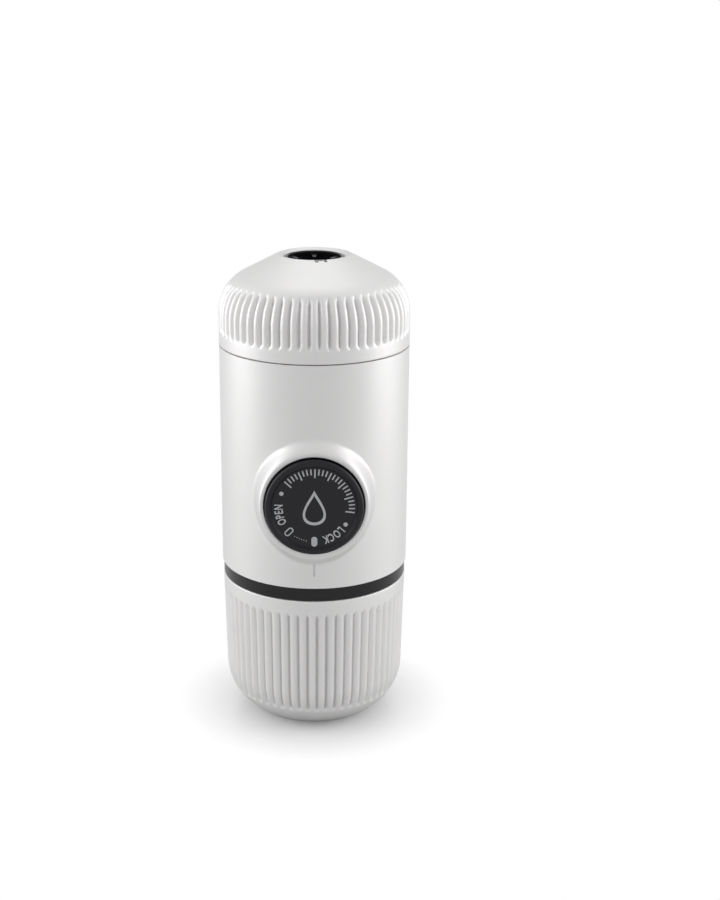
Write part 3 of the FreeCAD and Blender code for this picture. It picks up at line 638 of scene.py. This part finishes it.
class ESPRESSO_OT_head(bpy.types.Operator):
    """Makes the ribbed white dome, its rounded rim and the notch for the spout's tongue"""
    bl_idname = "espresso.head"
    bl_label = "Head"

    slope: bpy.props.FloatProperty(
        name="Slope", description="Slope of the dome's cone", default=math.radians(27.5), subtype="ANGLE")
    shoulder: bpy.props.FloatProperty(
        name="Shoulder", description="Radius of the dome's shoulder", default=14 * MM,
        unit="LENGTH", precision=5)
    rim_round: bpy.props.FloatProperty(
        name="Rim", description="Radius of the rounded rim", default=1.8 * MM, unit="LENGTH", precision=5)
    opening: bpy.props.FloatProperty(
        name="Opening", description="Radius of the spout's opening", default=9.6 * MM,
        unit="LENGTH", precision=5)
    rim_depth: bpy.props.FloatProperty(
        name="Rim depth", description="From the top down to the rim's underside", default=4.2 * MM,
        unit="LENGTH", precision=5)
    groove_rise: bpy.props.FloatProperty(
        name="Groove rise", description="From the seam up to the grooves' lower ends", default=3.8 * MM,
        unit="LENGTH", precision=5)
    groove_sweep: bpy.props.FloatProperty(
        name="Groove sweep", description="How far the grooves run over the shoulder",
        default=math.radians(47), subtype="ANGLE")

    def execute(self, context):
        line, low, high = self.outline()
        grooves = Grooves(low, high, turn=3.0, fade=3.6 * MM)
        points = [self.notched(p) for p in turned(line.rows, grooves)]
        faces = grid_faces(len(line.rows), grooves.columns)
        piece = new_piece("head_dome", points, faces, "head", white_shell)
        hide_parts("head_shell")
        return {"FINISHED"}

    def outline(self):
        """The dome's outline, from its lower edge over the rim and back inside, and its grooves' ends."""
        rim = (self.opening + self.rim_round, TOTAL_HEIGHT - self.rim_round)
        top = 90 - math.degrees(self.slope)
        cos_top, sin_top = math.cos(math.radians(top)), math.sin(math.radians(top))
        touch = (rim[0] + self.rim_round * cos_top, rim[1] + self.rim_round * sin_top)
        corner = touch[1] - (BODY_RADIUS - touch[0]) * math.tan(self.slope)
        setback = self.shoulder * math.tan(math.radians(top) / 2)
        centre = (BODY_RADIUS - self.shoulder, corner - setback)
        inner = self.shoulder - SHELL_WALL
        hip = (centre[0] + inner * cos_top, centre[1] + inner * sin_top)
        shelf = TOTAL_HEIGHT - self.rim_depth
        low = HEAD_LOW.z
        lip = 0.25 * MM
        line = Outline(BODY_RADIUS - SHELL_WALL, low)
        line.line_to(BODY_RADIUS - lip, low)
        line.arc((BODY_RADIUS - lip, low + lip), lip, -90, 0, 0.1 * MM)
        lip_way = line.way
        line.line_to(BODY_RADIUS, centre[1], 0.5 * MM)
        knee_way = line.way
        line.arc(centre, self.shoulder, 0, top, 0.4 * MM)
        line.line_to(touch[0], touch[1], 0.6 * MM)
        line.arc(rim, self.rim_round, top, 180, 0.15 * MM)
        line.line_to(self.opening, shelf, 0.4 * MM)
        line.line_to(hip[0] - (shelf - hip[1]) / math.tan(self.slope), shelf)
        line.line_to(hip[0], hip[1])
        line.arc(centre, inner, top, 0, 2 * MM)
        line.line_to(BODY_RADIUS - SHELL_WALL, low, 4 * MM)
        return line, lip_way + self.groove_rise, knee_way + self.groove_sweep * self.shoulder

    def notched(self, point):
        """The point, lowered to the notch's floor where it lies in the notch across the rim."""
        x, y, z = point
        along = x * math.cos(NOTCH_TURN) + y * math.sin(NOTCH_TURN)
        across = y * math.cos(NOTCH_TURN) - x * math.sin(NOTCH_TURN)
        floor = TOTAL_HEIGHT - NOTCH_DEPTH
        inner_end = self.opening - 1 * MM
        outer_end = self.opening + NOTCH_REACH
        if abs(across) < NOTCH_HALF_WIDTH and inner_end < along < outer_end and z > floor:
            return (x, y, floor)
        return point


class ESPRESSO_OT_spout(bpy.types.Operator):
    """Lines the spout's opening with the nozzle's black wall and its fins, up to the white rim"""
    bl_idname = "espresso.spout"
    bl_label = "Spout"

    radius: bpy.props.FloatProperty(
        name="Radius", description="Outer radius of the lining", default=9.5 * MM, unit="LENGTH", precision=5)
    wall: bpy.props.FloatProperty(
        name="Wall", description="Wall of the lining", default=0.9 * MM, unit="LENGTH", precision=5)
    drop: bpy.props.FloatProperty(
        name="Drop", description="From the head's top down to the lining's edge", default=0.65 * MM,
        unit="LENGTH", precision=5)
    fins: bpy.props.IntProperty(name="Fins", description="Fins inside the lining", default=6, min=3, max=24)
    fin_reach: bpy.props.FloatProperty(
        name="Fin reach", description="How far a fin reaches inwards", default=2.6 * MM,
        unit="LENGTH", precision=5)

    def execute(self, context):
        high = TOTAL_HEIGHT - self.drop
        low = TOTAL_HEIGHT - NOZZLE_DROP
        lip = 0.35 * MM
        inner = self.radius - self.wall
        columns = self.fins * FIN_SHARE
        line = Outline(self.radius, low)
        line.line_to(self.radius, high - lip, 1 * MM)
        line.arc((self.radius - lip, high - lip), lip, 0, 90, 0.12 * MM)
        line.line_to(inner + lip, high)
        line.line_to(inner, high - lip)
        outer_rows = len(line.rows)
        line.line_to(inner, low, 0.6 * MM)
        line.line_to(self.radius, low)
        points = []
        for i, (r, z, *_) in enumerate(line.rows):
            for j in range(columns):
                a = FULL_TURN * j / columns
                reach = self.fin(j, z, high) if i >= outer_rows and r < self.radius else 0.0
                points.append(((r - reach) * math.cos(a), (r - reach) * math.sin(a), z))
        faces = grid_faces(len(line.rows), columns)
        new_piece("spout_lining", points, faces, "head", gloss_black)
        return {"FINISHED"}

    def fin(self, column, z, high):
        """How far the inner wall stands in at a column: a fin is the middle columns of its share."""
        half_columns = 2
        start, slant = 1.1 * MM, 0.5 * MM
        if abs(column % FIN_SHARE - FIN_SHARE / 2) > half_columns:
            return 0.0
        return self.fin_reach * smooth_step((high - start - z) / slant)


class ESPRESSO_OT_body(bpy.types.Operator):
    """Makes the white body, the boss that flows out of it round the knob, and the index mark"""
    bl_idname = "espresso.body"
    bl_label = "Body"

    lip_proud: bpy.props.FloatProperty(
        name="Lip", description="How far the boss's front edge stands out of the body", default=2.2 * MM,
        unit="LENGTH", precision=5)
    hole: bpy.props.FloatProperty(
        name="Knob hole", description="Radius of the hole for the knob", default=16.0 * MM,
        unit="LENGTH", precision=5)
    lip_width: bpy.props.FloatProperty(
        name="Lip width", description="Flat width of the boss's front edge", default=1.0 * MM,
        unit="LENGTH", precision=5)
    blend: bpy.props.FloatProperty(
        name="Blend", description="Radius where the boss has run out into the body", default=21.4 * MM,
        unit="LENGTH", precision=5)
    lip_round: bpy.props.FloatProperty(
        name="Lip round", description="Radius of the hole's front edge", default=0.3 * MM,
        unit="LENGTH", precision=5)
    index_drop: bpy.props.FloatProperty(
        name="Index drop", description="From the knob's middle to the index mark", default=20.7 * MM,
        unit="LENGTH", precision=5)
    index_length: bpy.props.FloatProperty(
        name="Index length", description="Length of the index mark", default=4.1 * MM,
        unit="LENGTH", precision=5)
    index_width: bpy.props.FloatProperty(
        name="Index width", description="Width of the index mark", default=1.2 * MM,
        unit="LENGTH", precision=5)
    index_depth: bpy.props.FloatProperty(
        name="Index depth", description="Depth of the index mark", default=0.5 * MM,
        unit="LENGTH", precision=5)

    def execute(self, context):
        border = self.border_places()
        inner, outer = self.rings()
        points = [self.inner_point(*ring, place) for ring in inner for place in border]
        points += [self.outer_point(*ring, place) for ring in outer for place in border]
        columns = len(border)
        rows = len(inner) + len(outer)
        faces = grid_faces(rows, columns)
        last = (rows - 1) * columns
        for j in range(columns):
            k = (j + 1) % columns
            if border[j][1] == border[k][1]:
                faces.append((last + j, last + k, k, j))
        piece = new_piece("body_skin", points, faces, "main_body", white_shell, sharp=50)
        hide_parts("body_shell")
        return {"FINISHED"}

    def rings(self):
        """Rings of points inside and outside: each one's share of the way to the border, and its radius."""
        dense, plain = 0.06 * MM, 0.3 * MM
        margin = 1.2 * MM
        steps_inside, steps_outside = 8, 34
        inner = [(1 - i / steps_inside, self.hole) for i in range(steps_inside + 1)]
        outer = []
        radius = self.hole
        while radius < self.blend + margin:
            outer.append((0.0, radius))
            radius += dense if radius < self.hole + self.lip_round else plain
        widest = outer[-1][1]
        outer += [(i / steps_outside, widest) for i in range(1, steps_outside + 1)]
        return inner, outer

    def border_places(self):
        """Places round the edge of the unrolled shell: angle from the front and height, seam behind."""
        low, high = BODY_LOW.z, BODY_HIGH.z
        half_mark = 2 * MM / BODY_RADIUS
        fine, coarse, side = 32, 84, 60
        turns = [-math.pi + (math.pi - half_mark) * i / coarse for i in range(coarse)]
        turns += [half_mark * (2 * i / fine - 1) for i in range(fine)]
        turns += [half_mark + (math.pi - half_mark) * i / coarse for i in range(coarse)]
        heights = [high + (low - high) * i / side for i in range(side)]
        places = [(turn, high) for turn in turns] + [(math.pi, z) for z in heights]
        places += [(-turn, low) for turn in turns]
        places += [(-math.pi, low + high - z) for z in heights]
        return places

    def spread(self, share, radius, place, skin):
        """Turn and height on the way from a ring round the knob to a place on the border."""
        turn, z = place
        flat_x, flat_z = turn * BODY_RADIUS, z - KNOB_HEIGHT
        length = math.hypot(flat_x, flat_z)
        start = math.asin(flat_x / length * radius / skin)
        height = KNOB_HEIGHT + flat_z / length * radius
        return start + (turn - start) * share, height + (z - height) * share

    def inner_point(self, share, radius, place):
        skin = BODY_RADIUS - SHELL_WALL
        turn, z = self.spread(share, radius, place, skin)
        return (skin * math.sin(turn), -skin * math.cos(turn), z)

    def outer_point(self, share, radius, place):
        turn, z = self.spread(share, radius, place, BODY_RADIUS)
        x = BODY_RADIUS * math.sin(turn)
        reach = BODY_RADIUS * math.cos(turn) if share > 0 else self.front(x, z)
        cut = self.index_cut(x, z) if abs(turn) < 1 else 0.0
        return (x, cut - reach, z)

    def index_cut(self, x, z):
        """How deep the V-shaped index mark is at a place."""
        below = KNOB_HEIGHT - self.index_drop - z
        if not 0 < below < self.index_length:
            return 0.0
        return self.index_depth * max(0.0, 1 - 2 * abs(x) / self.index_width)

    def front(self, x, z):
        """How far the outer surface lies in front of the axis, near the knob."""
        skin = math.sqrt(BODY_RADIUS ** 2 - x ** 2)
        r = math.hypot(x, z - KNOB_HEIGHT)
        flat = self.hole + self.lip_width
        side_run_in = 1.7 * MM
        end = self.blend - side_run_in * (x / r) ** 2
        t = smooth_step((end - r) / (end - flat))
        over = max(0.0, self.hole + self.lip_round - r)
        drop = self.lip_round - math.sqrt(max(0.0, self.lip_round ** 2 - over ** 2))
        return skin + (BODY_RADIUS + self.lip_proud - drop - skin) * t


class ESPRESSO_OT_marks(bpy.types.Operator):
    """Prints the marks on the knob's face: lock bar, open ring, dots, words, ticks and a drop"""
    bl_idname = "espresso.marks"
    bl_label = "Knob marks"

    circle: bpy.props.FloatProperty(
        name="Circle", description="Radius of the circle that the marks lie on", default=11.3 * MM,
        unit="LENGTH", precision=5)
    ink: bpy.props.FloatProperty(
        name="Ink", description="Thickness of the ink", default=0.03 * MM, unit="LENGTH", precision=6)
    letter_size: bpy.props.FloatProperty(
        name="Letters", description="Size of the letters", default=3.7 * MM, unit="LENGTH", precision=5)
    narrow: bpy.props.FloatProperty(
        name="Narrow", description="Width of the letters as a share of the font's",
        default=0.66, subtype="FACTOR")
    bold: bpy.props.FloatProperty(
        name="Bold", description="How much each stroke is thickened", default=0.09 * MM,
        unit="LENGTH", precision=6)

    def execute(self, context):
        self.points = []
        self.faces = []
        self.bar_and_ring()
        small, large = 0.15 * MM, 0.7 * MM
        for turn in SMALL_DOTS_AT:
            self.dot(turn, small)
        for turn in LARGE_DOTS_AT:
            self.dot(turn, large)
        for text, turn in WORDS_AT.items():
            self.word(text, turn)
        long, short = 2.9 * MM, 1.9 * MM
        for i, turn in enumerate(TICKS_AT):
            self.tick(turn, long if i % 4 == 0 else short)
        outside = self.drop(half_width=5.2 * MM, half_height=5.8 * MM, lift=0)
        inside = self.drop(half_width=4.1 * MM, half_height=4.5 * MM, lift=-0.35 * MM)
        self.band(outside, inside)
        new_piece("knob_marks", self.points, self.faces, "knob", printed_ink, sharp=30)
        return {"FINISHED"}

    def bar_and_ring(self):
        """The solid bar of the locked place and the hollow one of the open place."""
        outside = self.slot_outline(half_width=0.95 * MM, half_length=1.65 * MM)
        inside = self.slot_outline(half_width=0.55 * MM, half_length=1.25 * MM)
        self.plate([self.at(LOCK_BAR_AT, x, self.circle + z) for x, z in outside])
        ring = [[self.at(OPEN_RING_AT, x, self.circle + z) for x, z in line] for line in (outside, inside)]
        self.band(*ring)

    def at(self, turn, along, out):
        """X and Z on the face: turn is in degrees clockwise from straight down, seen from the front."""
        a = math.radians(turn)
        return (-math.sin(a) * out - math.cos(a) * along, math.sin(a) * along - math.cos(a) * out)

    def lay(self, places):
        """Adds points on the ink's front and then on its back, and gives the number of the first."""
        start = len(self.points)
        for y in (FACE_FRONT - self.ink, FACE_FRONT + self.ink):
            self.points += [(x, y, KNOB_HEIGHT + z) for x, z in places]
        return start

    def plate(self, places):
        """A flat plate of ink inside an outline."""
        start, count = self.lay(places), len(places)
        self.faces.append(tuple(start + i for i in range(count)))
        self.faces.append(tuple(start + count + i for i in range(count)))
        self.edge(start, count, start + count)

    def band(self, outer, inner):
        """A band of ink between two outlines with as many places."""
        count = len(outer)
        a = self.lay(outer)
        b = self.lay(inner)
        for i in range(count):
            k = (i + 1) % count
            for layer in (0, count):
                self.faces.append((a + layer + i, a + layer + k, b + layer + k, b + layer + i))
        self.edge(a, count, a + count)
        self.edge(b, count, b + count)

    def edge(self, front, count, back):
        for i in range(count):
            k = (i + 1) % count
            self.faces.append((front + i, front + k, back + k, back + i))

    def slot_outline(self, half_width, half_length):
        """Places round an upright slot with round ends."""
        steps = 12
        middle = half_length - half_width
        places = []
        for side in (1, -1):
            for i in range(steps + 1):
                a = math.pi * i / steps
                places.append((side * half_width * math.cos(a), side * (middle + half_width * math.sin(a))))
        return places

    def dot(self, turn, radius):
        x, z = self.at(turn, 0, self.circle)
        sides = 20
        turns = [FULL_TURN * i / sides for i in range(sides)]
        self.plate([(x + radius * math.cos(a), z + radius * math.sin(a)) for a in turns])

    def tick(self, turn, length):
        half = 0.22 * MM
        tip = self.circle + 1.45 * MM
        root = tip - length
        corners = [(-half, root), (half, root), (half, tip), (-half, tip)]
        self.plate([self.at(turn, along, out) for along, out in corners])

    def drop(self, half_width, half_height, lift):
        """Places round a drop with its point at the top."""
        sides = 48
        slimness = 1.5
        places = []
        for i in range(sides):
            a = FULL_TURN * i / sides
            waist = abs(math.sin(a / 2)) ** slimness
            places.append((half_width * math.sin(a) * waist, lift + half_height * math.cos(a)))
        return places

    def word(self, text, turn):
        """A word that reads clockwise along the circle, its letters' tops outwards."""
        gap = 0.35 * MM
        foot = self.circle - self.letter_size * 0.36
        letters = [self.letter(c) for c in text]
        way = -(sum(width for mesh, width in letters) + gap * (len(text) - 1)) / 2
        for mesh, width in letters:
            angle = turn + math.degrees((way + width / 2) / self.circle)
            start = len(self.points)
            for v in mesh.vertices:
                x, z = self.at(angle, v.co.x, foot + v.co.y)
                self.points.append((x, FACE_FRONT - v.co.z, KNOB_HEIGHT + z))
            self.faces += [tuple(start + i for i in p.vertices) for p in mesh.polygons]
            way += width + gap

    def letter(self, character):
        """The mesh of a letter centred on its width, and that width."""
        curve = bpy.data.curves.new("letter", "FONT")
        curve.body = character
        curve.size = self.letter_size
        curve.extrude = self.ink
        curve.offset = self.bold
        curve.resolution_u = 3
        holder = bpy.data.objects.new("letter", curve)
        mesh = bpy.data.meshes.new_from_object(holder)
        bpy.data.objects.remove(holder)
        for v in mesh.vertices:
            v.co.x *= self.narrow
        left = min(v.co.x for v in mesh.vertices)
        right = max(v.co.x for v in mesh.vertices)
        for v in mesh.vertices:
            v.co.x -= (left + right) / 2
        return mesh, right - left


class ESPRESSO_OT_threads(bpy.types.Operator):
    """Winds the thread ridges on the collar and on the brewing neck"""
    bl_idname = "espresso.threads"
    bl_label = "Threads"

    pitch: bpy.props.FloatProperty(
        name="Lead", description="Rise of a ridge in one turn", default=5 * MM, unit="LENGTH", precision=5)
    starts: bpy.props.IntProperty(name="Starts", description="Ridges side by side", default=2, min=1, max=4)
    height: bpy.props.FloatProperty(
        name="Ridge", description="Height of a ridge", default=0.22 * MM, unit="LENGTH", precision=5)

    def execute(self, context):
        margin, neck_foot = 1.2 * MM, 2.5 * MM
        self.wind("collar_thread", COLLAR_RADIUS, COLLAR_FOOT + margin, TANK_TOP - margin)
        self.wind("neck_thread", NECK_HIGH.x, NECK_LOW.z + neck_foot, NECK_HIGH.z - margin)
        return {"FINISHED"}

    def wind(self, name, radius, low, high):
        """Ridges side by side from one height up to another, which run out in a quarter turn."""
        points, faces = [], []
        half_foot, half_crest, sunk = 0.55 * MM, 0.2 * MM, 0.1 * MM
        run_out = 0.25
        steps_per_turn = 72
        turns = (high - low) / self.pitch
        count = round(turns * steps_per_turn)
        for ridge in range(self.starts):
            start = len(points)
            for i in range(count + 1):
                way = turns * i / count
                ease = smooth_step(min(way, turns - way) / run_out)
                a = FULL_TURN * (way + ridge / self.starts)
                z = low + way * self.pitch
                crest = radius + self.height * ease
                section = [
                    (radius - sunk, z - half_foot),
                    (crest, z - half_crest),
                    (crest, z + half_crest),
                    (radius - sunk, z + half_foot),
                ]
                points += [(r * math.cos(a), r * math.sin(a), up) for r, up in section]
            ridge_faces = grid_faces(count + 1, len(section), capped=True)
            faces += [tuple(start + i for i in face) for face in ridge_faces]
        new_piece(name, points, faces, "main_body", satin_black)


class ESPRESSO_OT_spring(bpy.types.Operator):
    """Winds the return spring at its rest length, in place of the packed solid. The real spring stretches as
    the knob comes out; this mesh stays fixed.
    """
    bl_idname = "espresso.spring"
    bl_label = "Return spring"

    wire: bpy.props.FloatProperty(
        name="Wire", description="Radius of the wire", default=0.6 * MM, unit="LENGTH", precision=5)
    turns: bpy.props.IntProperty(name="Turns", description="Turns of the spring", default=6, min=3, max=20)

    def execute(self, context):
        points = []
        radius = SPRING_HIGH.x - self.wire
        back, front = SPRING_HIGH.y - self.wire, SPRING_LOW.y + self.wire
        steps_per_turn, sides = 40, 10
        count = self.turns * steps_per_turn
        for i in range(count + 1):
            a = FULL_TURN * self.turns * i / count
            y = back + (front - back) * i / count
            for j in range(sides):
                b = FULL_TURN * j / sides
                r = radius + self.wire * math.cos(b)
                point = (r * math.cos(a), y + self.wire * math.sin(b), KNOB_HEIGHT + r * math.sin(a))
                points.append(point)
        faces = grid_faces(count + 1, sides, capped=True)
        piece = new_piece("spring_wire", points, faces, None, rod_steel, sharp=60)
        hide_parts("return_spring")
        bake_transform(piece)
        return {"FINISHED"}


class ESPRESSO_OT_stage(bpy.types.Operator):
    """Makes the floor, the soft lamps, the white surroundings and the camera"""
    bl_idname = "espresso.stage"
    bl_label = "Studio"

    def execute(self, context):
        studio = context.scene.espresso_studio
        self.floor()
        self.world(studio)
        side_size, top_size = (0.36, 0.45), (0.6, 0.6)
        for name, x in (("left_softbox", -0.5), ("right_softbox", 0.5)):
            self.lamp(name, (x, 0, 0.23), target=(0, 0, 0.18), size=side_size, power=studio.side_power)
        self.lamp("top_softbox", (0, 0.3, 0.9), target=(0, 0, 0.1), size=top_size, power=studio.top_power)
        self.camera()
        context.scene.view_settings.view_transform = "Standard"
        return {"FINISHED"}

    def floor(self):
        half = 4.0
        mesh = bpy.data.meshes.new("studio_floor")
        corners = [(-half, -half, 0), (half, -half, 0), (half, half, 0), (-half, half, 0)]
        mesh.from_pydata(corners, [], [(0, 1, 2, 3)])
        mesh.materials.append(finish(studio_paper))
        floor = bpy.data.objects.new("studio_floor", mesh)
        bpy.context.scene.collection.objects.link(floor)

    def world(self, studio):
        world = bpy.data.worlds.new("studio")
        bpy.context.scene.world = world
        s = Shader(world, "ShaderNodeOutputWorld")
        side = s.add("ShaderNodeSeparateXYZ", None, {"Vector": s.add("ShaderNodeTexCoord")}, output="Y")
        behind = s.ramp(side * 0.5 + 0.5, 0.2, 0.8)
        fills = shade((1, 1, 1), studio.fill), shade((1, 1, 1), studio.back_fill)
        plain = s.add("ShaderNodeBackground", None, {"Color": s.mix(behind, *fills), "Strength": 1.0})
        white = s.add("ShaderNodeBackground", None, {"Color": (1, 1, 1, 1), "Strength": 1.0})
        s.finish_with(s.add("ShaderNodeMixShader", None, {0: s.seen(), 1: plain, 2: white}))

    def lamp(self, name, place, target, size, power):
        lamp = bpy.data.lights.new(name, "AREA")
        lamp.shape = "RECTANGLE"
        lamp.size, lamp.size_y = size
        lamp.energy = power
        holder = bpy.data.objects.new(name, lamp)
        bpy.context.scene.collection.objects.link(holder)
        holder.location = place
        aim = Vector(target) - Vector(place)
        holder.rotation_euler = aim.to_track_quat("-Z", "Y").to_euler()

    def camera(self):
        """The camera. Its focal length and sideways shift are in pixels of a picture 900 pixels high."""
        distance, height = 493.2 * MM, 247.2 * MM
        pitch = math.radians(17.68)
        focal, picture_height = 1555.1, 900
        axis_left_of_centre = 45.7
        camera = bpy.data.cameras.new("camera")
        camera.sensor_fit = "VERTICAL"
        camera.sensor_height = 36.0
        camera.lens = camera.sensor_height * focal / picture_height
        camera.shift_x = axis_left_of_centre / picture_height
        camera.clip_start = 0.01
        holder = bpy.data.objects.new("camera", camera)
        bpy.context.scene.collection.objects.link(holder)
        holder.location = (0, -distance, height)
        holder.rotation_euler = (math.pi / 2 - pitch, 0, 0)
        bpy.context.scene.camera = holder


# The panel, and what is registered and run

class ESPRESSO_PT_panel(bpy.types.Panel):
    """The settings of the espresso maker, and the steps that make it"""
    bl_idname = "ESPRESSO_PT_panel"
    bl_label = "Espresso maker"
    bl_space_type = "VIEW_3D"
    bl_region_type = "UI"
    bl_category = "Espresso maker"

    def draw(self, context):
        for name in SETTINGS:
            group = getattr(context.scene, name)
            for size in group.__annotations__:
                self.layout.prop(group, size)
        for step in STEPS:
            self.layout.operator(step.bl_idname)


SETTINGS = {
    "espresso_ribs": RibSettings,
    "espresso_looks": LookSettings,
    "espresso_studio": StudioSettings,
}
STEPS = (
    ESPRESSO_OT_finishes,
    ESPRESSO_OT_tank,
    ESPRESSO_OT_head,
    ESPRESSO_OT_spout,
    ESPRESSO_OT_body,
    ESPRESSO_OT_marks,
    ESPRESSO_OT_threads,
    ESPRESSO_OT_spring,
    ESPRESSO_OT_stage,
)


def register():
    for cls in (*SETTINGS.values(), *STEPS, ESPRESSO_PT_panel):
        bpy.utils.register_class(cls)
    for name, group in SETTINGS.items():
        setattr(bpy.types.Scene, name, bpy.props.PointerProperty(type=group))


def unregister():
    for name in SETTINGS:
        delattr(bpy.types.Scene, name)
    for cls in (ESPRESSO_PT_panel, *reversed(STEPS), *SETTINGS.values()):
        bpy.utils.unregister_class(cls)


def main():
    register()
    for step in STEPS:
        getattr(bpy.ops.espresso, step.bl_idname.split(".")[1])()


if __name__ == "__main__":
    main()
